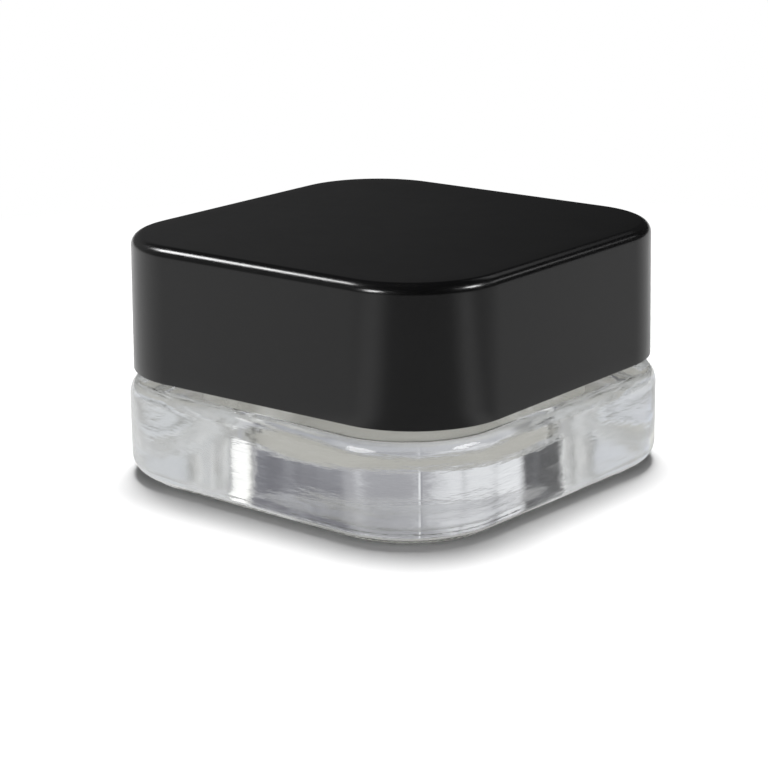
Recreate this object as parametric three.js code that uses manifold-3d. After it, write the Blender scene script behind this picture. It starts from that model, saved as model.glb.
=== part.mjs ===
// A small square thick-walled glass jar with a square two-piece push-and-turn screw lid.
// Units are millimetres, +Z is up, and the origin is the middle of the base on the ground.
import * as THREE from 'three';
import { mergeVertices } from 'three/addons/utils/BufferGeometryUtils.js';
import Module from 'manifold-3d';

const wasm = await Module();
wasm.setup();

// ---- driving dimensions ----

const jarHalfSide = 19; // 38 mm square glass
const jarCornerRadius = 9.1;
const shoulderHeight = 8.78; // flat top of the square glass, around the neck
const rimHeight = 16.65; // top of the neck
const footHeight = 0.36; // low straight band under the heel
const heelRadius = 1.65; // round from the foot to the side wall
const shoulderInset = 1.0; // elliptical round from the side wall to the flat shoulder
const shoulderDrop = 1.6;
const pushUpDepth = 0.45; // hollow under the base
const pushUpInset = 3.4; // the hollow's edge, measured in from the side wall
const footWidth = 1.2; // the flat that the jar stands on

const neckRadius = 14.3;
const boreRadius = 12.6;
const cavityFloor = 3.3; // thickness of the glass base
const cavityFloorRadius = 5.5; // round between the cavity's floor and wall
const rimRound = 0.45;

const threadPitch = 4.0; // single start, right hand
const threadBase = 10.2; // middle of the glass thread where it starts, at turn 0
const jarThread = { depth: 0.9, root: 1.9, crest: 0.8, startTurn: 0, turns: 1.25, lift: 0 };
const capThread = { depth: 0.9, root: 1.5, crest: 0.6, startTurn: 0.74, turns: 1.12, lift: -threadPitch / 2 };
const threadFade = 0.08; // share of a thread's length over which each end runs out
const threadSteps = 72;

const lidHalfSide = 18.42; // at the top of the side wall
const lidCornerRadius = 8.46;
const lidDraft = 0.15; // the open edge is wider than the top by this much on each side
const lidBottom = 9.7;
const lidTop = 21.5;
const lidTopRadius = 0.95; // round between side wall and top
const lidWall = 1.3;
const lidTopThickness = 1.4;
const lidInnerRound = 0.6; // between the inside of the wall and of the top
const lidYawDegrees = 1.9; // the closed lid stops this far past square to the glass

const capOuterRadius = 16.7;
const capInnerRadius = 15.55;
const capSkirtBottom = 10.3;
const capPlateThickness = 1.1;

const notchCount = 12;
const notchWidth = 3.2;
const notchDepth = 0.9; // a little more than the 0.7 that the lid is pressed down
const notchInnerRadius = 15.15;
const lugCount = 4;
const lugWidth = 2.2;
const lugClearance = 0.1; // between a lug's tip and the cap's top while the lid stands up
const lugInnerRadius = 15.5;

const beadInnerRadius = 16.3; // the snap beads reach this far in, under the threaded cap's skirt
const beadWidth = 9;
const beadTopGap = 0.15;
const beadFoot = 0.05; // above the lid's open edge
const beadTip = 0.1; // height of the bead's blunt inner end

const linerRadius = 15.25;
const linerFacingThickness = 0.15;
const linerFoamThickness = 0.75;
const restGap = 0.03; // between pieces that lie on each other
const linerPlay = 0.04; // more room over the liner, under the threaded cap's plate

const springInnerRadius = 9.0;
const springOuterRadius = 12.0;
const springThickness = 0.4;
const springFingers = 6;
const springFingerArc = 44; // degrees along the ring
const springFingerInset = 0.4; // each side of a finger, in from the ring's edges
const springFingerLift = 0.02; // where a finger leaves the ring

// ---- derived dimensions ----

const capPlateBottom = rimHeight + linerFacingThickness + linerFoamThickness + 2 * restGap + linerPlay;
const capTop = capPlateBottom + capPlateThickness;
const lidInnerTop = lidTop - lidTopThickness;
const capInset = 0.35; // bevel on the threaded cap's top edge
const roundSegments = 64;
const overlap = 0.4; // how far joined solids run into each other

// ---- geometry helpers ----

// One LatheGeometry about Z from [radius, height] points that start and end on the axis.
function roundLathe(points) {
  const profile = points.map(([radius, height]) => new THREE.Vector2(radius, height));
  return new THREE.LatheGeometry(profile, roundSegments).rotateX(Math.PI / 2);
}

// The same turned body with its four quarters pulled apart by `core` each way: a round-cornered square.
// A point's radius is then the corner's radius there.
function squareLathe(points, core) {
  const geometry = roundLathe(points).rotateZ(Math.PI / roundSegments);
  const position = geometry.attributes.position;
  for (let i = 0; i < position.count; i++) {
    const x = position.getX(i);
    const y = position.getY(i);
    if (Math.hypot(x, y) < 1e-3) continue;
    position.setX(i, x + Math.sign(x) * core);
    position.setY(i, y + Math.sign(y) * core);
  }
  return geometry;
}

// Points of an arc between two angles in degrees, as [radius, height] pairs. `rise` makes it elliptical.
function arc(centreRadius, centreHeight, radius, from, to, steps = 5, rise = radius) {
  return Array.from({ length: steps + 1 }, (_, i) => {
    const angle = THREE.MathUtils.degToRad(from + (to - from) * (i / steps));
    return [centreRadius + radius * Math.cos(angle), centreHeight + rise * Math.sin(angle)];
  });
}

// A bar of constant section bent round the axis. The section is [outward, up] points about the bar's middle
// line; `fade` of its length at each end shrinks to nothing in depth, so a thread runs out into its wall.
function wrappedBar(section, { radius, startHeight, rise, startAngle, turnAngle, steps, fade = 0 }) {
  const shallowest = 0.05;
  const shape = new THREE.Shape(section.map(([outward, up]) => new THREE.Vector2(outward, up)));
  const geometry = new THREE.ExtrudeGeometry(shape, { depth: 1, steps, bevelEnabled: false });
  const position = geometry.attributes.position;
  for (let i = 0; i < position.count; i++) {
    const along = position.getZ(i);
    const end = Math.min(along, 1 - along);
    const depthScale = fade > 0 ? Math.min(1, shallowest + end / fade) : 1;
    const angle = startAngle + turnAngle * along;
    const r = radius + position.getX(i) * depthScale;
    const height = startHeight + rise * along + position.getY(i);
    position.setXYZ(i, r * Math.cos(angle), r * Math.sin(angle), height);
  }
  return geometry;
}

function toSolid(geometry) {
  const bare = geometry.clone();
  bare.deleteAttribute('normal');
  bare.deleteAttribute('uv');
  const merged = mergeVertices(bare, 1e-4);
  const index = Array.from(merged.index.array);
  const triangles = [];
  for (let i = 0; i < index.length; i += 3) {
    const [a, b, c] = index.slice(i, i + 3);
    if (a !== b && b !== c && c !== a) triangles.push(a, b, c);
  }
  const mesh = new wasm.Mesh({
    numProp: 3,
    vertProperties: new Float32Array(merged.attributes.position.array),
    triVerts: new Uint32Array(triangles),
  });
  const solid = new wasm.Manifold(mesh);
  return solid.volume() < 0 ? toSolid(turnedInsideOut(geometry)) : solid;
}

// Swaps two corners of every triangle.
function turnedInsideOut(geometry) {
  const flipped = geometry.clone();
  const plainOrder = [...Array(flipped.attributes.position.count).keys()];
  const order = flipped.index ? Array.from(flipped.index.array) : plainOrder;
  for (let i = 0; i < order.length; i += 3) [order[i + 1], order[i + 2]] = [order[i + 2], order[i + 1]];
  flipped.setIndex(order);
  return flipped;
}

function toGeometry(solid) {
  const { vertProperties, triVerts } = solid.getMesh();
  const geometry = new THREE.BufferGeometry();
  geometry.setAttribute('position', new THREE.BufferAttribute(new Float32Array(vertProperties), 3));
  geometry.setIndex(new THREE.BufferAttribute(new Uint32Array(triVerts), 1));
  geometry.computeVertexNormals();
  return geometry;
}

// A block standing at an angle round the axis, from radius `inner` to `outer`.
function radialBlock(angle, inner, outer, width, bottom, top) {
  return new THREE.BoxGeometry(outer - inner, width, top - bottom)
    .translate((inner + outer) / 2, 0, (bottom + top) / 2)
    .rotateZ(angle);
}

function evenAngles(count) {
  return Array.from({ length: count }, (_, i) => (2 * Math.PI * i) / count);
}

// A thread ridge on a round wall, outward (+1) or inward (-1). Both threads lie on one helix, half a pitch
// apart.
function threadRidge(profile, wallRadius, sign) {
  const buried = -sign * overlap;
  const section = [
    [buried, -profile.root / 2],
    [0, -profile.root / 2],
    [sign * profile.depth, -profile.crest / 2],
    [sign * profile.depth, profile.crest / 2],
    [0, profile.root / 2],
    [buried, profile.root / 2],
  ];
  return wrappedBar(section, {
    radius: wallRadius,
    startHeight: threadBase + profile.lift + threadPitch * profile.startTurn,
    rise: threadPitch * profile.turns,
    startAngle: 2 * Math.PI * profile.startTurn,
    turnAngle: 2 * Math.PI * profile.turns,
    steps: threadSteps,
    fade: threadFade,
  });
}

// ---- sub-parts ----

function glassJar() {
  const core = jarHalfSide - jarCornerRadius;
  const footEdge = jarCornerRadius - heelRadius;
  const shoulderEdge = jarCornerRadius - shoulderInset;
  const body = squareLathe([
    [0, pushUpDepth],
    [jarCornerRadius - pushUpInset, pushUpDepth],
    [footEdge - footWidth, 0],
    [footEdge, 0],
    ...arc(footEdge, footHeight + heelRadius, heelRadius, -90, 0),
    ...arc(shoulderEdge, shoulderHeight - shoulderDrop, shoulderInset, 0, 90, 6, shoulderDrop),
    [0, shoulderHeight],
  ], core);
  const neck = roundLathe([
    [0, shoulderHeight - overlap],
    [neckRadius, shoulderHeight - overlap],
    ...arc(neckRadius - rimRound, rimHeight - rimRound, rimRound, 0, 90, 4),
    [0, rimHeight],
  ]);
  const cavity = roundLathe([
    [0, cavityFloor],
    ...arc(boreRadius - cavityFloorRadius, cavityFloor + cavityFloorRadius, cavityFloorRadius, -90, 0, 6),
    [boreRadius, rimHeight - rimRound],
    [boreRadius + rimRound, rimHeight + overlap],
    [0, rimHeight + overlap],
  ]);
  const thread = threadRidge(jarThread, neckRadius, 1);
  return toGeometry(toSolid(body).add(toSolid(neck)).add(toSolid(thread)).subtract(toSolid(cavity)));
}

function innerCap() {
  const body = roundLathe([
    [0, capPlateBottom],
    [capInnerRadius, capPlateBottom],
    [capInnerRadius, capSkirtBottom],
    [capOuterRadius, capSkirtBottom],
    [capOuterRadius, capTop - capInset],
    [capOuterRadius - capInset, capTop],
    [0, capTop],
  ]);
  const thread = threadRidge(capThread, capInnerRadius, -1);
  const skirtHeight = capPlateBottom - capSkirtBottom;
  const skirtSpace = new THREE.CylinderGeometry(capOuterRadius, capOuterRadius, skirtHeight)
    .rotateX(Math.PI / 2)
    .translate(0, 0, (capPlateBottom + capSkirtBottom) / 2);
  let cap = toSolid(body).add(toSolid(thread).intersect(toSolid(skirtSpace)));
  for (const angle of evenAngles(notchCount)) {
    const notch = radialBlock(
      angle, notchInnerRadius, capOuterRadius + overlap, notchWidth, capTop - notchDepth, capTop + overlap);
    cap = cap.subtract(toSolid(notch));
  }
  return toGeometry(cap);
}

function outerShell() {
  const core = lidHalfSide - lidCornerRadius;
  const innerRadius = lidCornerRadius - lidWall;
  let shell = toSolid(squareLathe([
    [0, lidInnerTop],
    ...arc(innerRadius - lidInnerRound, lidInnerTop - lidInnerRound, lidInnerRound, 90, 0, 3),
    [innerRadius + lidDraft, lidBottom],
    [lidCornerRadius + lidDraft, lidBottom],
    ...arc(lidCornerRadius - lidTopRadius, lidTop - lidTopRadius, lidTopRadius, 0, 90, 6),
    [0, lidTop],
  ], core));
  const wallMiddle = lidHalfSide - lidWall / 2;
  const lugBottom = capTop + lugClearance;
  for (const angle of evenAngles(lugCount)) {
    const lug = radialBlock(angle, lugInnerRadius, wallMiddle, lugWidth, lugBottom, lidInnerTop + overlap);
    shell = shell.add(toSolid(lug));
    shell = shell.add(toSolid(retainingBead(angle, wallMiddle)));
  }
  return toGeometry(shell);
}

// A wedge on the inside of the lid's wall that snaps under the threaded cap's skirt.
function retainingBead(angle, outerEdge) {
  const top = capSkirtBottom - beadTopGap;
  const section = new THREE.Shape([
    new THREE.Vector2(outerEdge, lidBottom + beadFoot),
    new THREE.Vector2(outerEdge, top),
    new THREE.Vector2(beadInnerRadius, top - beadFoot),
    new THREE.Vector2(beadInnerRadius, top - beadFoot - beadTip),
  ]);
  return new THREE.ExtrudeGeometry(section, { depth: beadWidth, bevelEnabled: false })
    .translate(0, 0, -beadWidth / 2)
    .rotateX(Math.PI / 2)
    .rotateZ(angle);
}

// A flat ring on the threaded cap with fingers that climb to the underside of the lid's top.
function springRing() {
  const bottom = capTop + restGap;
  const ring = roundLathe([
    [springInnerRadius, bottom],
    [springOuterRadius, bottom],
    [springOuterRadius, bottom + springThickness],
    [springInnerRadius, bottom + springThickness],
    [springInnerRadius, bottom],
  ]);
  const halfWidth = (springOuterRadius - springInnerRadius) / 2 - springFingerInset;
  const section = [
    [-halfWidth, -springThickness / 2],
    [halfWidth, -springThickness / 2],
    [halfWidth, springThickness / 2],
    [-halfWidth, springThickness / 2],
  ];
  const lowMiddle = bottom + springThickness / 2 + springFingerLift;
  const highMiddle = lidInnerTop - restGap - springThickness / 2;
  let spring = toSolid(ring);
  for (const angle of evenAngles(springFingers)) {
    const finger = wrappedBar(section, {
      radius: (springInnerRadius + springOuterRadius) / 2,
      startHeight: lowMiddle,
      rise: highMiddle - lowMiddle,
      startAngle: angle,
      turnAngle: THREE.MathUtils.degToRad(springFingerArc),
      steps: 8,
    });
    spring = spring.add(toSolid(finger));
  }
  return toGeometry(spring);
}

function disc(bottom, thickness) {
  return new THREE.CylinderGeometry(linerRadius, linerRadius, thickness, roundSegments)
    .rotateX(Math.PI / 2)
    .translate(0, 0, bottom + thickness / 2);
}

// ---- materials and assembly ----

function finish(color, roughness, extra = {}) {
  return new THREE.MeshStandardMaterial({ color, roughness, metalness: 0, ...extra });
}

function part(name, geometry, material) {
  const mesh = new THREE.Mesh(geometry, material);
  mesh.name = name;
  return mesh;
}

const lid = new THREE.Group();
lid.rotation.z = THREE.MathUtils.degToRad(lidYawDegrees);
const facingBottom = rimHeight + restGap;
const foamBottom = facingBottom + linerFacingThickness + restGap;
lid.add(
  part('liner_facing', disc(facingBottom, linerFacingThickness), finish(0xf4f4f2, 0.35)),
  part('liner_foam', disc(foamBottom, linerFoamThickness), finish(0xe9e8e4, 0.9)),
  part('inner_cap', innerCap(), finish(0xeeeeec, 0.5)),
  part('spring_ring', springRing(), finish(0xe6e6e3, 0.45)),
  part('outer_shell', outerShell(), finish(0x17171a, 0.38)),
);

const jar = new THREE.Group();
jar.add(part('glass_jar', glassJar(), finish(0xf2f6f6, 0.03, { transparent: true, opacity: 0.35 })), lid);

export default jar;
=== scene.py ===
"""Looks of a small square glass jar with a black push-and-turn screw lid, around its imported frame.

Everything is in metres in the frame's own axes: the origin is the middle of the base and +Z is up.
"""
import math

import bmesh
import bpy
from mathutils import Matrix, Vector, noise


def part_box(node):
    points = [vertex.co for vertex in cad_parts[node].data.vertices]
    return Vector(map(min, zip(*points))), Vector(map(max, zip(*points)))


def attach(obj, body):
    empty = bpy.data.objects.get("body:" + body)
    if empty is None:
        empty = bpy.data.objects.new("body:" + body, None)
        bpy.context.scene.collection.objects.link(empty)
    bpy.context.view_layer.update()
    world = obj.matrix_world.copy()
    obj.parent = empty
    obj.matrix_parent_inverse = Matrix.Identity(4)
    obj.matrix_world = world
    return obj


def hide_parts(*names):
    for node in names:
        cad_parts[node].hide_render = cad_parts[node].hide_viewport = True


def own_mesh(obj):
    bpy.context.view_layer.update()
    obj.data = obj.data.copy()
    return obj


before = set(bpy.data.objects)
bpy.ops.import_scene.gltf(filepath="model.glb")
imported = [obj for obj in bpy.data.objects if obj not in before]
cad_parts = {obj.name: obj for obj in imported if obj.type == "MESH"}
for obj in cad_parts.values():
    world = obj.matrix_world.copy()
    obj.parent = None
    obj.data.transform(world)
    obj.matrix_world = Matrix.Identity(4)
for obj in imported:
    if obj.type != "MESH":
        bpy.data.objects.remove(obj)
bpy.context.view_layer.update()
MM = 0.001
SHARP_ANGLE = math.radians(35)

# ---- places from the frame ----

LID_LOW, LID_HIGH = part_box("outer_shell")
CAP_LOW, CAP_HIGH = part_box("inner_cap")
FOAM_LOW, FOAM_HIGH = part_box("liner_foam")
FACING_LOW, FACING_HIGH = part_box("liner_facing")
SPRING_LOW, SPRING_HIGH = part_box("spring_ring")
GLASS_HALF = 19.0 * MM
RIM_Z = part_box("glass_jar")[1].z

# ---- sizes that the boxes don't give ----

GLASS_CORNER = 9.1 * MM
SHOULDER_Z = 8.78 * MM
SHOULDER_INSET = 1.0 * MM
SHOULDER_DROP = 1.6 * MM
HEEL_RADIUS = 1.65 * MM
KNURL_DEPTH = 0.06 * MM
FOOT_HEIGHT = 0.36 * MM
FOOT_WIDTH = 1.2 * MM
PUSH_UP_DEPTH = 0.45 * MM
PUSH_UP_INSET = 3.4 * MM
NECK_RADIUS = 14.3 * MM
NECK_FILLET = 0.5 * MM
BORE_RADIUS = 12.6 * MM
CAVITY_FLOOR = 3.3 * MM
CAVITY_ROUND = 5.5 * MM
RIM_ROUND = 0.45 * MM
FOOT_ROUND = 0.12 * MM
SEAM_HEIGHT = 0.014 * MM
SEAM_HALF_ANGLE = math.radians(0.6)
# how far the glass drifts from its true shape, and over what distances
CAVITY_DRIFT = 0.05 * MM
OUTSIDE_DRIFT = 0.012 * MM
DRIFT_LONG = 3.5 * MM
DRIFT_SHORT = 1.3 * MM

PITCH = 4.0 * MM
THREAD_DEPTH = 0.9 * MM
THREAD_BASE = 10.2 * MM
GLASS_THREAD = {"root": 1.9 * MM, "crest": 0.8 * MM, "start": 0.0, "turns": 1.25, "lift": 0.0}
CAP_THREAD = {"root": 1.5 * MM, "crest": 0.6 * MM, "start": 0.74, "turns": 1.12, "lift": -PITCH / 2}
THREAD_FADE = 0.08

LID_HALF = 18.42 * MM
LID_CORNER = 8.46 * MM
LID_DRAFT = 0.15 * MM
LID_TOP_ROUND = 0.95 * MM
LID_EDGE_ROUND = 0.12 * MM
LID_WALL = 1.3 * MM
LID_TOP_THICKNESS = 1.4 * MM
LID_YAW = math.radians(1.9)
LID_INNER_ROUND = 0.6 * MM
LUG_COUNT = 4
LUG_WIDTH = 2.2 * MM
LUG_REACH = 15.5 * MM
LUG_GAP = 0.1 * MM  # above the inner cap
LUG_ROUND = 0.15 * MM
BEAD_WIDTH = 9.0 * MM
BEAD_CATCH = 0.4 * MM  # how far a bead reaches in under the inner cap
BEAD_LIFT = 0.08 * MM  # above the lid's edge
BEAD_GAP = 0.15 * MM  # below the inner cap
BEAD_ROUND = 0.12 * MM
FITTING_OVERLAP = 0.4 * MM  # how far a lug goes into the lid's top

CAP_RADIUS = 16.7 * MM
CAP_BORE = 15.55 * MM
CAP_PLATE = 1.1 * MM
CAP_INNER_ROUND = 0.3 * MM
CAP_LIP_ROUND = 0.15 * MM
CAP_FOOT_ROUND = 0.2 * MM
CAP_TOP_ROUND = 0.35 * MM
NOTCH_COUNT = 12
NOTCH_SIZE = (2.2 * MM, 3.2 * MM, 1.4 * MM)
NOTCH_START = 15.15 * MM
NOTCH_DEPTH = 0.9 * MM
NOTCH_ROUND = 0.12 * MM

SPRING_INNER = 9.0 * MM
SPRING_OUTER = 12.0 * MM
SPRING_THICKNESS = 0.4 * MM
FINGER_COUNT = 6
FINGER_ANGLE = math.radians(44)
FINGER_INSET = 0.4 * MM
FINGER_LIFT = 0.02 * MM

LINER_RADIUS = 15.25 * MM
HUB = 0.3 * MM  # the smallest ring round the middle of a round piece
NEAR_MIDDLE = 0.02  # the smallest ring of a square piece, as a share of the ring outside it


# ---- mesh helpers ----

def arc(centre, height, radius, start, end, steps, rise=None):
    """[radius, height] points of an arc between two angles in degrees; rise makes it an ellipse."""
    rise = radius if rise is None else rise
    points = []
    for i in range(steps + 1):
        angle = math.radians(start + (end - start) * i / steps)
        points.append((centre + radius * math.cos(angle), height + rise * math.sin(angle)))
    return points


def square_stations(arc_steps=36, flat_steps=32, seam=True):
    """Stations round a round-cornered square: a corner's place as (+-1, +-1), blended along the flats,
    and the outward normal's angle. Extra stations crowd at each corner's middle for the mould seam."""
    half_turn = math.pi / 4
    near = [SEAM_HALF_ANGLE * k for k in (-2, -1, -0.5, 0, 0.5, 1, 2)] if seam else []
    steps = [math.pi / 2 * i / arc_steps - half_turn for i in range(arc_steps + 1)]
    clear = 3.2 * SEAM_HALF_ANGLE if seam else 0
    local = sorted([a for a in steps if abs(a) >= clear] + near)
    stations = []
    for quarter in range(4):
        middle = half_turn + quarter * math.pi / 2
        corner = Vector((math.copysign(1, math.cos(middle)), math.copysign(1, math.sin(middle))))
        following = Vector((-corner.y, corner.x))
        for a in local:
            stations.append((corner.copy(), middle + a))
        for i in range(1, flat_steps):
            stations.append((corner.lerp(following, i / flat_steps), middle + half_turn))
    return stations


def square_ring(stations, core, radius, z):
    """A round-cornered square at height z: core is half its flat side and radius its corner's radius."""
    return [Vector((c.x * core + radius * math.cos(a), c.y * core + radius * math.sin(a), z))
            for c, a in stations]


def outward(angle):
    return Vector((math.cos(angle), math.sin(angle), 0))


def towards_middle(ring, z):
    """A small ring inside one that lies at height z."""
    return [p * NEAR_MIDDLE + Vector((0, 0, z * (1 - NEAR_MIDDLE))) for p in ring]


def round_ring(angles, radius, z):
    return [Vector((radius * math.cos(a), radius * math.sin(a), z)) for a in angles]


def between(first, last, count):
    """Rings spread evenly between two rings, without either of them."""
    return [[a.lerp(b, k / (count + 1)) for a, b in zip(first, last)] for k in range(1, count + 1)]


def even_angles(count):
    return [2 * math.pi * i / count for i in range(count)]


def loft(name, rings, ends):
    """A closed mesh through rings of equal length, with the two middle points that close it."""
    bm = bmesh.new()
    made = [[bm.verts.new(p) for p in ring] for ring in rings]
    for low, high in zip(made, made[1:]):
        for i in range(len(low)):
            j = (i + 1) % len(low)
            bm.faces.new((low[i], low[j], high[j], high[i]))
    for point, ring in zip(ends, (made[0], made[-1])):
        tip = bm.verts.new(point)
        for i in range(len(ring)):
            j = (i + 1) % len(ring)
            bm.faces.new((ring[i], ring[j], tip))
    bmesh.ops.recalc_face_normals(bm, faces=bm.faces)
    return finished(name, bm)


def finished(name, bm):
    """The object that a bmesh becomes, smooth but for its sharp edges."""
    mesh = bpy.data.meshes.new(name)
    bm.to_mesh(mesh)
    bm.free()
    smooth(mesh)
    piece = bpy.data.objects.new(name, mesh)
    bpy.context.scene.collection.objects.link(piece)
    return piece


def smooth(mesh):
    mesh.polygons.foreach_set("use_smooth", [True] * len(mesh.polygons))
    mesh.set_sharp_from_angle(angle=SHARP_ANGLE)


def block(name, size, centre, turned, round_edge):
    """A box with rounded edges, turned about Z after it is placed."""
    bm = bmesh.new()
    bmesh.ops.create_cube(bm, size=1)
    bmesh.ops.scale(bm, vec=Vector(size), verts=bm.verts)
    bmesh.ops.bevel(bm, geom=list(bm.edges), offset=round_edge, segments=3, affect="EDGES", profile=0.5)
    bmesh.ops.translate(bm, vec=Vector(centre), verts=bm.verts)
    bmesh.ops.rotate(bm, matrix=Matrix.Rotation(turned, 3, "Z"), verts=bm.verts)
    return finished(name, bm)


def boolean(piece, tools, operation):
    """Cuts or joins tools with piece, and removes the tools."""
    for tool in tools:
        modifier = piece.modifiers.new("cut", "BOOLEAN")
        modifier.operation = operation
        modifier.solver = "EXACT"
        modifier.object = tool
    bpy.context.view_layer.update()
    solid = bpy.data.meshes.new_from_object(piece.evaluated_get(bpy.context.evaluated_depsgraph_get()))
    piece.modifiers.clear()
    piece.data = solid
    smooth(solid)
    for tool in tools:
        bpy.data.objects.remove(tool)
    return piece


def thread_height(angle, z, thread):
    """How far a screw thread stands out of its wall at an angle and height."""
    tallest = 0.0
    for lap in range(3):
        turn = (angle % (2 * math.pi)) / (2 * math.pi) + lap
        along = (turn - thread["start"]) / thread["turns"]
        if not 0 <= along <= 1:
            continue
        middle = THREAD_BASE + thread["lift"] + PITCH * turn
        away = abs(z - middle)
        flank = (thread["root"] - thread["crest"]) / 2
        share = min(max((thread["root"] / 2 - away) / flank, 0.0), 1.0)
        fade = min(1.0, min(along, 1 - along) / THREAD_FADE)
        rounded = share * share * (3 - 2 * share)
        tallest = max(tallest, THREAD_DEPTH * rounded * math.sin(fade * math.pi / 2))
    return tallest


def wavy(point, scale, amount):
    """A smooth sideways drift of a moulded surface, in metres."""
    return amount * noise.noise(point / scale)


# ---- glass jar ----

def seam_height(angle):
    """The mould's two halves meet at the +X -Y corner and the one across from it."""
    off = abs((angle + math.pi / 4 + math.pi / 2) % math.pi - math.pi / 2)
    return SEAM_HEIGHT * max(0.0, 1 - off / SEAM_HALF_ANGLE)


def glass_jar():
    stations = square_stations()
    core = GLASS_HALF - GLASS_CORNER
    foot_edge = GLASS_CORNER - HEEL_RADIUS
    recess = square_ring(stations, core, GLASS_CORNER - PUSH_UP_INSET, PUSH_UP_DEPTH)
    middle = towards_middle(recess, PUSH_UP_DEPTH)
    rings = [middle, *between(middle, recess, 10), recess]
    outside = [(foot_edge - FOOT_WIDTH, 0.0), (foot_edge - FOOT_ROUND, 0.0)]
    outside += arc(foot_edge - FOOT_ROUND, FOOT_ROUND, FOOT_ROUND, -90, 0, 3)[1:]
    outside += [(foot_edge, FOOT_HEIGHT - 0.05 * MM)]
    outside += arc(foot_edge, FOOT_HEIGHT + HEEL_RADIUS, HEEL_RADIUS, -90, 0, 14)
    wall_low = FOOT_HEIGHT + HEEL_RADIUS
    wall_high = SHOULDER_Z - SHOULDER_DROP
    outside += [(GLASS_CORNER, wall_low + (wall_high - wall_low) * k / 12) for k in range(1, 12)]
    outside += arc(GLASS_CORNER - SHOULDER_INSET, wall_high, SHOULDER_INSET, 0, 90, 14, SHOULDER_DROP)
    for radius, z in outside:
        ring = square_ring(stations, core, radius, z)
        if z == 0.0:
            ring = [p + Vector((0, 0, KNURL_DEPTH * (i % 2))) for i, p in enumerate(ring)]
        if z > FOOT_HEIGHT:
            ring = [p + outward(a) * seam_height(a) for p, (_, a) in zip(ring, stations)]
        rings.append(ring)
    angles = [math.atan2(p.y, p.x) for p in rings[-1]]
    neck_foot = round_ring(angles, NECK_RADIUS + NECK_FILLET, SHOULDER_Z)
    rings += between(rings[-1], neck_foot, 6)
    fillet = arc(NECK_RADIUS + NECK_FILLET, SHOULDER_Z + NECK_FILLET, NECK_FILLET, 270, 180, 6)
    rings += [round_ring(angles, r, z) for r, z in fillet]
    low, high = SHOULDER_Z + NECK_FILLET, RIM_Z - RIM_ROUND
    for k in range(1, 72):
        z = low + (high - low) * k / 72
        rings.append([outward(a) * (NECK_RADIUS + thread_height(a, z, GLASS_THREAD)) + Vector((0, 0, z))
                      for a in angles])
    lip = arc(NECK_RADIUS - RIM_ROUND, RIM_Z - RIM_ROUND, RIM_ROUND, 0, 90, 8)
    lip += arc(BORE_RADIUS + RIM_ROUND, RIM_Z - RIM_ROUND, RIM_ROUND, 90, 180, 8)
    rings += [round_ring(angles, r, z) for r, z in lip]
    wall_foot = CAVITY_FLOOR + CAVITY_ROUND
    for k in range(1, 30):
        rings.append(round_ring(angles, BORE_RADIUS, high + (wall_foot - high) * k / 30))
    rings += [round_ring(angles, r, z)
              for r, z in arc(BORE_RADIUS - CAVITY_ROUND, wall_foot, CAVITY_ROUND, 0, -90, 20)]
    floor_ring = rings[-1]
    last = round_ring(angles, HUB, CAVITY_FLOOR)
    rings += between(floor_ring, last, 14) + [last]
    ends = (Vector((0, 0, PUSH_UP_DEPTH)), Vector((0, 0, CAVITY_FLOOR)))
    jar = loft("clear_glass_jar", rings, ends)
    relax_glass(jar)
    return jar


def relax_glass(jar):
    """Pressed glass is never quite true: the cavity drifts most and the outside very little.
    The resting face and the rim stay true."""
    normals = [v.normal.copy() for v in jar.data.vertices]
    for vertex, normal in zip(jar.data.vertices, normals):
        p = vertex.co
        inside = math.hypot(p.x, p.y) < BORE_RADIUS + 0.1 * MM and p.z > CAVITY_FLOOR - 0.1 * MM
        if p.z < 0.05 * MM or p.z > RIM_Z - 2 * RIM_ROUND:
            continue
        amount = CAVITY_DRIFT if inside else OUTSIDE_DRIFT
        elsewhere = p + Vector((1, 0, 0))
        vertex.co = p + normal * (wavy(p, DRIFT_LONG, amount) + wavy(elsewhere, DRIFT_SHORT, amount * 0.25))


# ---- lid ----

def outer_shell():
    stations = square_stations(seam=False, arc_steps=48)
    core = LID_HALF - LID_CORNER
    top, bottom = LID_HIGH.z, LID_LOW.z
    wall_top = top - LID_TOP_ROUND
    edge = LID_CORNER + LID_DRAFT
    inner = LID_CORNER - LID_WALL
    inner_top = top - LID_TOP_THICKNESS
    profile = [(edge - LID_WALL, bottom + LID_EDGE_ROUND)]
    profile += arc(edge - LID_WALL + LID_EDGE_ROUND, bottom + LID_EDGE_ROUND, LID_EDGE_ROUND, 180, 270, 3)
    profile += arc(edge - LID_EDGE_ROUND, bottom + LID_EDGE_ROUND, LID_EDGE_ROUND, -90, 0, 4)
    wall_height = wall_top - bottom - LID_EDGE_ROUND
    profile += [(edge - LID_DRAFT * k / 10, bottom + LID_EDGE_ROUND + wall_height * k / 10)
                for k in range(1, 10)]
    profile += arc(LID_CORNER - LID_TOP_ROUND, wall_top, LID_TOP_ROUND, 0, 90, 16)
    outside = [square_ring(stations, core, r, z) for r, z in profile]
    top_middle = towards_middle(outside[-1], top)
    outside += between(outside[-1], top_middle, 12) + [top_middle]
    inside = [square_ring(stations, core, r, z) for r, z in
              arc(inner - LID_INNER_ROUND, inner_top - LID_INNER_ROUND, LID_INNER_ROUND, 90, 0, 6)]
    inner_middle = towards_middle(inside[0], inner_top)
    # from the middle of the inside top, out and down to the edge, then up the outside to its middle
    rings = [inner_middle, *inside, *outside[1:]]
    ends = (Vector((0, 0, inner_top)), Vector((0, 0, top)))
    shell = loft("lid_shell", rings, ends)
    shell = boolean(shell, lid_fittings(inner_top), "UNION")
    shell.data.transform(Matrix.Rotation(LID_YAW, 4, "Z"))
    return shell


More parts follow.
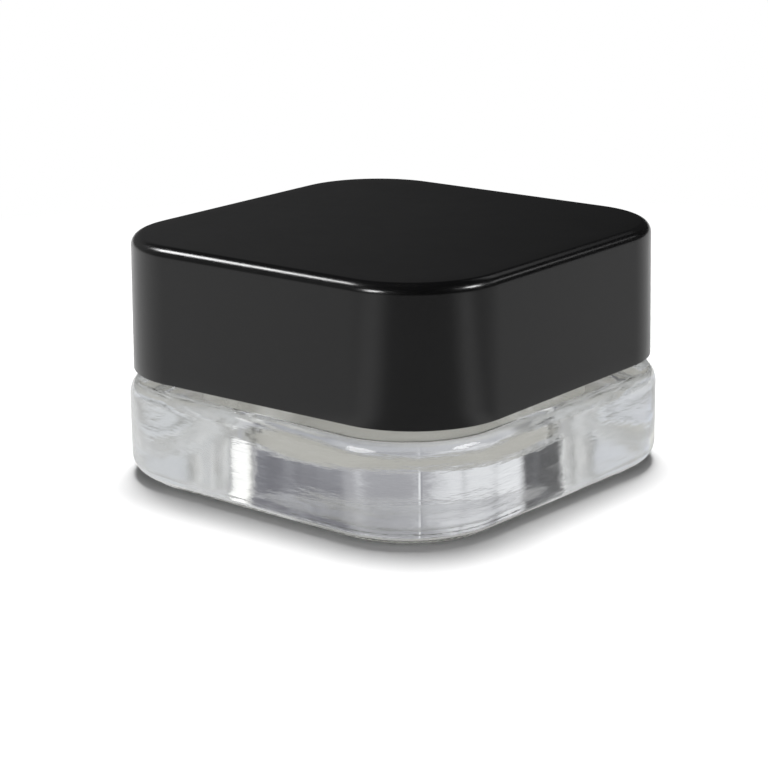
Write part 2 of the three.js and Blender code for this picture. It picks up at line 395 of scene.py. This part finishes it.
def lid_fittings(inner_top):
    """Drive lugs under the top and snap beads near the open edge."""
    tools = []
    wall = LID_HALF - LID_WALL / 2
    lug_low, lug_high = CAP_HIGH.z + LUG_GAP, inner_top + FITTING_OVERLAP
    bead_reach = CAP_RADIUS - BEAD_CATCH
    bead_low, bead_high = LID_LOW.z + BEAD_LIFT, CAP_LOW.z - BEAD_GAP
    for angle in even_angles(LUG_COUNT):
        size = (wall - LUG_REACH, LUG_WIDTH, lug_high - lug_low)
        centre = ((wall + LUG_REACH) / 2, 0, (lug_low + lug_high) / 2)
        tools.append(block("lug", size, centre, angle, LUG_ROUND))
        size = (wall - bead_reach, BEAD_WIDTH, bead_high - bead_low)
        centre = ((wall + bead_reach) / 2, 0, (bead_low + bead_high) / 2)
        tools.append(block("bead", size, centre, angle, BEAD_ROUND))
    return tools


# ---- threaded cap, spring and liner ----

def inner_cap():
    angles = even_angles(288)
    low, top = CAP_LOW.z, CAP_HIGH.z
    plate = top - CAP_PLATE
    wall_top, wall_low = plate - CAP_INNER_ROUND, low + CAP_LIP_ROUND
    plate_edge = CAP_BORE - CAP_INNER_ROUND
    rings = between(round_ring(angles, HUB, plate), round_ring(angles, plate_edge, plate), 6)
    rings += [round_ring(angles, r, z) for r, z in arc(plate_edge, wall_top, CAP_INNER_ROUND, 90, 0, 4)]
    for k in range(1, 60):
        z = wall_top + (wall_low - wall_top) * k / 60
        rings.append([outward(a) * (CAP_BORE - thread_height(a, z, CAP_THREAD)) + Vector((0, 0, z))
                      for a in angles])
    edge = arc(CAP_BORE + CAP_LIP_ROUND, wall_low, CAP_LIP_ROUND, 180, 270, 3)
    edge += arc(CAP_RADIUS - CAP_FOOT_ROUND, low + CAP_FOOT_ROUND, CAP_FOOT_ROUND, -90, 0, 4)
    edge += arc(CAP_RADIUS - CAP_TOP_ROUND, top - CAP_TOP_ROUND, CAP_TOP_ROUND, 0, 90, 5)
    rings += [round_ring(angles, r, z) for r, z in edge]
    rings += between(rings[-1], round_ring(angles, HUB, top), 4)
    cap = loft("threaded_inner_cap", rings, (Vector((0, 0, plate)), Vector((0, 0, top))))
    tools = []
    centre = (NOTCH_START + NOTCH_SIZE[0] / 2, 0, top - NOTCH_DEPTH + NOTCH_SIZE[2] / 2)
    for angle in even_angles(NOTCH_COUNT):
        tools.append(block("notch", NOTCH_SIZE, centre, angle, NOTCH_ROUND))
    cap = boolean(cap, tools, "DIFFERENCE")
    cap.data.transform(Matrix.Rotation(LID_YAW, 4, "Z"))
    return cap


def spring_ring():
    """A flat ring with six sprung fingers that climb to the lid's underside."""
    bm = bmesh.new()
    bottom, high = SPRING_LOW.z, SPRING_HIGH.z

    def strip(angles, radii, heights):
        """The sections of a flat bar along angles, between two radii."""
        low, far = radii
        sections = []
        for a, z in zip(angles, heights):
            top = z + SPRING_THICKNESS
            corners = [(low, z), (far, z), (far, top), (low, top)]
            sections.append([bm.verts.new(outward(a) * r + Vector((0, 0, h))) for r, h in corners])
        return sections

    def skin(sections, closed):
        """Faces along a bar, which is a ring when it is closed and has two ends when it isn't."""
        pairs = list(zip(sections, sections[1:]))
        if closed:
            pairs.append((sections[-1], sections[0]))
        for a, b in pairs:
            for i in range(4):
                j = (i + 1) % 4
                bm.faces.new((a[i], a[j], b[j], b[i]))
        if not closed:
            bm.faces.new(sections[0])
            bm.faces.new(sections[-1])

    ring_angles = even_angles(144)
    skin(strip(ring_angles, (SPRING_INNER, SPRING_OUTER), [bottom] * len(ring_angles)), True)
    finger_low = bottom + FINGER_LIFT
    climb = high - SPRING_THICKNESS - finger_low
    steps = 16
    along = [k / steps for k in range(steps + 1)]
    heights = [finger_low + climb * math.sin(t * math.pi / 2) ** 1.5 for t in along]
    for start in even_angles(FINGER_COUNT):
        angles = [start + FINGER_ANGLE * t for t in along]
        skin(strip(angles, (SPRING_INNER + FINGER_INSET, SPRING_OUTER - FINGER_INSET), heights), False)
    bmesh.ops.recalc_face_normals(bm, faces=bm.faces)
    ring = finished("spring_fingers", bm)
    ring.data.transform(Matrix.Rotation(LID_YAW, 4, "Z"))
    return ring


def disc(name, low, high, radius, edge):
    """A round pad with rounded edges."""
    angles = even_angles(192)
    rings = [round_ring(angles, (radius - edge) * k / 40, low) for k in range(1, 40)]
    rings += [round_ring(angles, r, z) for r, z in arc(radius - edge, low + edge, edge, -90, 0, 3)]
    rings += [round_ring(angles, r, z) for r, z in arc(radius - edge, high - edge, edge, 0, 90, 3)]
    return loft(name, rings, (Vector((0, 0, low)), Vector((0, 0, high))))


# ---- materials ----

def new_material(name):
    material = bpy.data.materials.new(name)
    material.use_nodes = True
    tree = material.node_tree
    shader = tree.nodes["Principled BSDF"]
    place = tree.nodes.new("ShaderNodeTexCoord")
    return material, tree, shader, place.outputs["Object"]


def noise_node(tree, place, scale, detail=2.0, roughness=0.5, stretch=(1, 1, 1)):
    mapping = tree.nodes.new("ShaderNodeMapping")
    mapping.inputs["Scale"].default_value = stretch
    tree.links.new(place, mapping.inputs["Vector"])
    texture = tree.nodes.new("ShaderNodeTexNoise")
    texture.inputs["Scale"].default_value = scale
    texture.inputs["Detail"].default_value = detail
    texture.inputs["Roughness"].default_value = roughness
    tree.links.new(mapping.outputs["Vector"], texture.inputs["Vector"])
    return texture.outputs["Fac"]


def ramp(tree, source, stops):
    node = tree.nodes.new("ShaderNodeValToRGB")
    elements = node.color_ramp.elements
    while len(elements) < len(stops):
        elements.new(1.0)
    for element, (position, colour) in zip(elements, stops):
        element.position = position
        element.color = (*colour, 1)
    tree.links.new(source, node.inputs["Fac"])
    return node.outputs["Color"]


def spread(tree, source, low, high, first=0.3, last=0.7):
    """A source's first to last, by default the middle of a noise, mapped to low to high."""
    node = tree.nodes.new("ShaderNodeMapRange")
    node.inputs["From Min"].default_value = first
    node.inputs["From Max"].default_value = last
    node.inputs["To Min"].default_value = low
    node.inputs["To Max"].default_value = high
    tree.links.new(source, node.inputs["Value"])
    return node.outputs["Result"]


def bump(tree, shader, source, strength, distance):
    node = tree.nodes.new("ShaderNodeBump")
    node.inputs["Strength"].default_value = strength
    node.inputs["Distance"].default_value = distance
    tree.links.new(source, node.inputs["Height"])
    tree.links.new(node.outputs["Normal"], shader.inputs["Normal"])


def glass_material():
    material, tree, shader, place = new_material("clear_flint_glass")
    shader.inputs["Base Color"].default_value = (0.985, 0.992, 0.992, 1)
    shader.inputs["Roughness"].default_value = 0.09
    shader.inputs["IOR"].default_value = 1.52
    shader.inputs["Transmission Weight"].default_value = 1.0
    bump(tree, shader, noise_node(tree, place, 130, 4.0, 0.6, (1, 1, 6)), 0.8, 0.08 * MM)
    return material


def lid_material():
    material, tree, shader, place = new_material("satin_black_polypropylene")
    cloud = noise_node(tree, place, 160, 3.0)
    tree.links.new(ramp(tree, cloud, [(0.3, (0.0028, 0.0028, 0.003)), (0.7, (0.0036, 0.0036, 0.0038))]),
                   shader.inputs["Base Color"])
    tree.links.new(spread(tree, noise_node(tree, place, 900, 2.0), 0.2, 0.24), shader.inputs["Roughness"])
    bump(tree, shader, noise_node(tree, place, 7000, 2.0), 0.12, 0.01 * MM)
    return material


def plastic_material(name, colour, roughness, grain):
    material, tree, shader, place = new_material(name)
    darker = tuple(c * 0.94 for c in colour)
    tree.links.new(ramp(tree, noise_node(tree, place, 260, 3.0), [(0.35, darker), (0.65, colour)]),
                   shader.inputs["Base Color"])
    tree.links.new(spread(tree, noise_node(tree, place, 1200), roughness - 0.05, roughness + 0.05),
                   shader.inputs["Roughness"])
    bump(tree, shader, noise_node(tree, place, grain), 0.15, 0.02 * MM)
    return material


# ---- studio ----

CAMERA_AZIMUTH = math.radians(40.07)
CAMERA_ELEVATION = math.radians(14.77)
CAMERA_ROLL = math.radians(-0.52)
CAMERA_DISTANCE = 205.55 * MM
CAMERA_AIM = Vector((0, 0, 11 * MM))
CAMERA_LENS = 110.1
CAMERA_SHIFT = (-0.0131, -0.0538)

# thick glass passes light on inside itself many times before it lets it out
GLASS_BOUNCES = 48

BACKDROP = (1.0, 1.0, 1.0)
ROOM = (0.12, 0.12, 0.124)

# What stands round the jar, as [degrees, colour] pairs. 0 is straight behind it, positive is to the
# left of that and 180 is the camera's side.
BEHIND_IN_LID = [(-180, (0.02, 0.02, 0.02)), (-8, (0.02, 0.02, 0.02)), (8, (0.09, 0.09, 0.09)),
                 (60, (0.25, 0.25, 0.25)), (120, (0.1, 0.1, 0.1)), (179, (0.02, 0.02, 0.02))]
# how strong those are by height, which is the upward part of the direction to them
LID_PANEL_TOP = [(0.0, (1, 1, 1)), (0.44, (1, 1, 1)), (0.52, (0.15, 0.15, 0.15))]
LOW_IN_GLASS = [(-180, (0.6, 0.62, 0.64)), (-68, (0.6, 0.62, 0.64)), (-66, (0.12, 0.13, 0.14)),
                (-50, (0.12, 0.13, 0.14)), (-48, (1.15, 1.15, 1.13)), (20, (1.15, 1.15, 1.15)),
                (22.5, (0.04, 0.04, 0.045)), (52, (0.04, 0.04, 0.04)), (56, (0.9, 0.91, 0.9)),
                (76, (0.84, 0.86, 0.87)), (82, (1.15, 1.12, 0.92)), (86, (0.85, 0.95, 1.15)),
                (90, (0.64, 0.66, 0.7)), (179, (0.6, 0.62, 0.64))]
# the low panels nearest to straight behind, as shares of the colours in LOW_IN_GLASS
BEHIND_REACH = 30
BEHIND_IN_GLASS = [(-30, (1.0, 1.0, 1.0)), (-29, (0.9, 0.9, 0.87)), (-26.5, (0.09, 0.09, 0.11)),
                   (-4, (0.13, 0.13, 0.15)), (3, (0.12, 0.12, 0.14)), (6, (0.26, 0.26, 0.28)),
                   (10.4, (0.3, 0.3, 0.32)), (10.9, (0.68, 0.69, 0.71)), (20.5, (0.7, 0.71, 0.73)),
                   (22, (1.0, 1.0, 1.0))]
HIGH_IN_GLASS = [(-180, (0.68, 0.7, 0.71)), (-60, (0.74, 0.75, 0.75)), (-26, (0.44, 0.45, 0.48)),
                 (5.5, (0.42, 0.43, 0.46)), (20, (0.64, 0.65, 0.67)), (26, (0.3, 0.3, 0.3)),
                 (48, (0.3, 0.3, 0.3)), (60, (0.7, 0.71, 0.71)), (179, (0.68, 0.7, 0.71))]
# the height where the low panels give way to the high ones
LOW_PANEL_TOP = [(0.34, (0, 0, 0)), (0.40, (1, 1, 1))]
# long level lighter streaks painted into what the glass shows of the panels round it, standing in for the
# unevenness of pressed glass
STREAK_SCALE = 9.0
STREAK_STRETCH = (1, 1, 5)
STREAK_RANGE = (0.53, 0.7)  # the part of the noise that makes them, from none to full
STREAK_COLOUR = (0.42, 0.43, 0.46)
# the table's glow by direction as the lid mirrors it, a painted reflection of lit and shaded table, and by
# distance as the glass shows it, with a painted shadow under the jar
# painted reflection: darker stops are painted shade and brighter ones painted light, seen only in the lid
PAINTED_TABLE_REFLECTION_IN_LID = [(-180, (0.34, 0.34, 0.34)), (-146, (0.34, 0.34, 0.34)), (-131, (0.95, 0.95, 0.95)),
                (-116, (0.42, 0.42, 0.42)), (-104, (0.5, 0.5, 0.5)), (-75, (0.54, 0.54, 0.54)),
                (0, (1.0, 1.0, 1.0)), (90, (0.8, 0.8, 0.8)), (126, (0.64, 0.64, 0.64)),
                (137, (0.9, 0.9, 0.9)), (145, (0.9, 0.9, 0.9)), (158, (0.34, 0.34, 0.34)),
                (179, (0.34, 0.34, 0.34))]
# the first stops, darker and beige out to a fifth of TABLE_REACH, are a painted shadow under the jar
TABLE_IN_GLASS_WITH_PAINTED_SHADOW = [(0.0, (0.46, 0.455, 0.42)), (0.2, (0.46, 0.455, 0.42)), (0.34, (0.76, 0.77, 0.77)),
                  (1.0, (0.85, 0.86, 0.88))]
TABLE_REACH = 100 * MM  # where TABLE_IN_GLASS_WITH_PAINTED_SHADOW ends
TABLE_FADE = (50 * MM, 120 * MM)  # the table turns into the white backdrop between these distances

# lights as name, azimuth and elevation in degrees, distance in metres, size in metres and power in watts
TABLE_LIGHTS = [("overhead", 180, 79, 0.9, (0.335, 0.335), 11.5),
                ("front", 0, 45, 0.9, (0.6, 0.6), 1.4)]
LID_LIGHTS = [("strip_left", -106, 43, 0.7, (0.2, 0.14), 2.2),
              ("window_left", -47, 23, 0.8, (0.2, 0.15), 2.6),
              ("window_right", 72, 33, 0.8, (0.18, 0.14), 2.2),
              ("kicker_back", 143, 42, 0.8, (0.3, 0.14), 0.08),
              ("kicker_right", 105, 25, 0.8, (0.2, 0.09), 0.125)]
GLASS_LIGHTS = [("streak_left", -54, 23, 0.8, (0.46, 0.26), 2.0),
                ("streak_right", 66, 30, 0.8, (0.46, 0.24), 2.0)]


def make_camera():
    back = Vector((math.sin(CAMERA_AZIMUTH) * math.cos(CAMERA_ELEVATION),
                   -math.cos(CAMERA_AZIMUTH) * math.cos(CAMERA_ELEVATION),
                   math.sin(CAMERA_ELEVATION)))
    data = bpy.data.cameras.new("camera")
    data.lens = CAMERA_LENS
    data.sensor_width = 36
    data.shift_x, data.shift_y = CAMERA_SHIFT
    data.clip_start = 1 * MM
    data.clip_end = 20
    camera = bpy.data.objects.new("camera", data)
    camera.rotation_mode = "QUATERNION"
    roll = Matrix.Rotation(CAMERA_ROLL, 3, "Z").to_quaternion()
    camera.rotation_quaternion = (-back).to_track_quat("-Z", "Y") @ roll
    camera.location = CAMERA_AIM + back * CAMERA_DISTANCE
    bpy.context.scene.collection.objects.link(camera)
    bpy.context.scene.camera = camera


def soft_box(name, azimuth, elevation, distance, size, power, mirrored=True, lights_table=True,
             shape="RECTANGLE"):
    """A light that faces the jar. Azimuth 0 is the camera's side and positive is to its right.
    One that isn't mirrored lights the scene without showing in the lid or the glass."""
    turn = CAMERA_AZIMUTH + math.radians(azimuth)
    rise = math.radians(elevation)
    towards = Vector((math.sin(turn) * math.cos(rise), -math.cos(turn) * math.cos(rise), math.sin(rise)))
    data = bpy.data.lights.new(name, "AREA")
    data.shape = shape
    data.size, data.size_y = size
    data.energy = power
    light = bpy.data.objects.new(name, data)
    light.rotation_mode = "QUATERNION"
    light.rotation_quaternion = (-towards).to_track_quat("-Z", "Y")
    light.location = Vector((0, 0, 10 * MM)) + towards * distance
    light.visible_glossy = mirrored
    light.visible_transmission = False
    light.visible_diffuse = lights_table
    bpy.context.scene.collection.objects.link(light)
    return light


def light_only(lights, piece):
    """These lights fall on one piece and leave the rest alone."""
    lit = bpy.data.collections.new("lit_" + piece.name)
    lit.objects.link(piece)
    for light in lights:
        light.light_linking.receiver_collection = lit


def round_about(tree, place):
    """The direction round the jar as 0 to 1, with 0.5 straight behind it, and the place turned to match."""
    mapping = tree.nodes.new("ShaderNodeMapping")
    mapping.inputs["Rotation"].default_value = (0, 0, -CAMERA_AZIMUTH - math.pi / 2)
    tree.links.new(place, mapping.inputs["Vector"])
    gradient = tree.nodes.new("ShaderNodeTexGradient")
    gradient.gradient_type = "RADIAL"
    tree.links.new(mapping.outputs["Vector"], gradient.inputs["Vector"])
    return gradient.outputs["Fac"]


def by_degrees(stops, reach=180):
    """Stops at degrees from -reach to reach, as a ramp takes them."""
    return [(degrees / reach / 2 + 0.5, colour) for degrees, colour in stops]


def mixed_colour(tree, kind, factor, first, second):
    node = tree.nodes.new("ShaderNodeMixRGB")
    node.blend_type = kind
    for name, value in (("Fac", factor), ("Color1", first), ("Color2", second)):
        if isinstance(value, float):
            node.inputs[name].default_value = value
        elif isinstance(value, tuple):
            node.inputs[name].default_value = (*value, 1)
        else:
            tree.links.new(value, node.inputs[name])
    return node.outputs["Color"]


def glow(tree, kind, colour):
    """A light-giving shader, with its colour as a tuple or a node's output."""
    node = tree.nodes.new(kind)
    if isinstance(colour, tuple):
        node.inputs["Color"].default_value = (*colour, 1)
    else:
        tree.links.new(colour, node.inputs["Color"])
    return node.outputs[0]


def by_ray(tree, shader, others):
    """shader as most rays meet it, and others as [Light Path output, shader] pairs, the last one strongest:
    a ray through glass also counts as glossy."""
    rays = tree.nodes.new("ShaderNodeLightPath")
    for ray, other in others:
        mix = tree.nodes.new("ShaderNodeMixShader")
        tree.links.new(rays.outputs[ray], mix.inputs["Fac"])
        tree.links.new(shader, mix.inputs[1])
        tree.links.new(other, mix.inputs[2])
        shader = mix.outputs["Shader"]
    return shader


def make_world():
    """A white backdrop with dark and light panels round the table, which show in the lid and the glass."""
    world = bpy.data.worlds.new("studio")
    world.use_nodes = True
    tree = world.node_tree
    place = tree.nodes.new("ShaderNodeTexCoord").outputs["Generated"]
    around = round_about(tree, place)
    axes = tree.nodes.new("ShaderNodeSeparateXYZ")
    tree.links.new(place, axes.inputs["Vector"])
    height = axes.outputs["Z"]
    in_lid = mixed_colour(tree, "MULTIPLY", 1.0, ramp(tree, around, by_degrees(BEHIND_IN_LID)),
                          ramp(tree, height, LID_PANEL_TOP))
    raised = ramp(tree, height, LOW_PANEL_TOP)
    behind = spread(tree, around, 0.0, 1.0, 0.5 - BEHIND_REACH / 360, 0.5 + BEHIND_REACH / 360)
    low = mixed_colour(tree, "MULTIPLY", 1.0, ramp(tree, around, by_degrees(LOW_IN_GLASS)),
                       ramp(tree, behind, by_degrees(BEHIND_IN_GLASS, BEHIND_REACH)))
    in_glass = mixed_colour(tree, "MIX", raised, low, ramp(tree, around, by_degrees(HIGH_IN_GLASS)))
    # painted light: lighter streaks in the panels that only the glass shows
    painted_streak_noise = noise_node(tree, place, STREAK_SCALE, 4.0, 0.6, STREAK_STRETCH)
    in_glass = mixed_colour(tree, "LIGHTEN", spread(tree, painted_streak_noise, 0.0, 1.0, *STREAK_RANGE), in_glass,
                            STREAK_COLOUR)
    kind = "ShaderNodeBackground"
    mixed = by_ray(tree, glow(tree, kind, ROOM), [
        ("Is Camera Ray", glow(tree, kind, BACKDROP)),
        ("Is Glossy Ray", glow(tree, kind, in_lid)),
        ("Is Transmission Ray", glow(tree, kind, in_glass))])
    tree.links.new(mixed, tree.nodes["World Output"].inputs["Surface"])
    bpy.context.scene.world = world


def make_floor():
    """A matt white table. Its glow in the lid and the glass stands for the light scattered in it, with
    painted light and shade: a painted reflection of lit and shaded table by direction in the lid, and a
    painted shadow under the jar in the glass.
    """
    bm = bmesh.new()
    bmesh.ops.create_grid(bm, x_segments=1, y_segments=1, size=2.5)
    floor = finished("floor", bm)
    material, tree, shader, place = new_material("white_table")
    shader.inputs["Base Color"].default_value = (0.9, 0.9, 0.9, 1)
    shader.inputs["Roughness"].default_value = 0.9
    shader.inputs["Specular IOR Level"].default_value = 0.0
    # what the lid mirrors of the table is a painted reflection, with light and shade painted by direction
    in_lid = ramp(tree, round_about(tree, place), by_degrees(PAINTED_TABLE_REFLECTION_IN_LID))
    away = tree.nodes.new("ShaderNodeVectorMath")
    away.operation = "LENGTH"
    tree.links.new(place, away.inputs[0])
    share = spread(tree, away.outputs["Value"], 0.0, 1.0, 0.0, TABLE_REACH)
    # what the glass shows of the table: a painted shadow under the jar, brighter further out
    in_glass = ramp(tree, share, TABLE_IN_GLASS_WITH_PAINTED_SHADOW)
    kind = "ShaderNodeEmission"
    fade = tree.nodes.new("ShaderNodeMixShader")
    tree.links.new(spread(tree, away.outputs["Value"], 0.0, 1.0, *TABLE_FADE), fade.inputs["Fac"])
    tree.links.new(shader.outputs["BSDF"], fade.inputs[1])
    tree.links.new(glow(tree, kind, BACKDROP), fade.inputs[2])
    mixed = by_ray(tree, fade.outputs["Shader"], [
        ("Is Glossy Ray", glow(tree, kind, in_lid)),
        ("Is Transmission Ray", glow(tree, kind, in_glass))])
    tree.links.new(mixed, tree.nodes["Material Output"].inputs["Surface"])
    floor.data.materials.append(material)


def make_studio():
    """The table, the room and the lights. It returns the lights for the lid and those for the glass."""
    scene = bpy.context.scene
    scene.view_settings.view_transform = "Standard"
    scene.cycles.max_bounces = GLASS_BOUNCES
    scene.cycles.glossy_bounces = GLASS_BOUNCES
    scene.cycles.transmission_bounces = GLASS_BOUNCES
    make_world()
    make_floor()
    for light in TABLE_LIGHTS:
        soft_box(*light, mirrored=False)
    for_lid = [soft_box(*light, lights_table=False) for light in LID_LIGHTS]
    for_glass = [soft_box(*light, lights_table=False, shape="ELLIPSE") for light in GLASS_LIGHTS]
    return for_lid, for_glass


# ---- assembly ----

def add(piece, body, node, material):
    """A piece that stands for a CAD node, with its finish."""
    piece.data.materials.clear()
    piece.data.materials.append(material)
    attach(piece, body)
    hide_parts(node)
    return piece


make_camera()
lid_lights, glass_lights = make_studio()
jar = add(glass_jar(), "jar", "glass_jar", glass_material())
shell = add(outer_shell(), "lid", "outer_shell", lid_material())
light_only(lid_lights, shell)
light_only(glass_lights, jar)
white = plastic_material("white_polypropylene", (0.78, 0.78, 0.76), 0.42, 2600)
add(inner_cap(), "threaded_cap", "inner_cap", white)
spring = add(spring_ring(), "spring", "spring_ring",
             plastic_material("white_acetal", (0.74, 0.74, 0.72), 0.3, 2600))
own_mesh(spring)
add(disc("liner_pad", FOAM_LOW.z, FOAM_HIGH.z, LINER_RADIUS, 0.12 * MM), "liner", "liner_foam",
    plastic_material("polyethylene_foam", (0.8, 0.79, 0.76), 0.75, 5200))
add(disc("liner_film", FACING_LOW.z, FACING_HIGH.z, LINER_RADIUS, 0.03 * MM), "liner", "liner_facing",
    plastic_material("liner_film", (0.86, 0.86, 0.85), 0.3, 900))

bpy.context.view_layer.update()
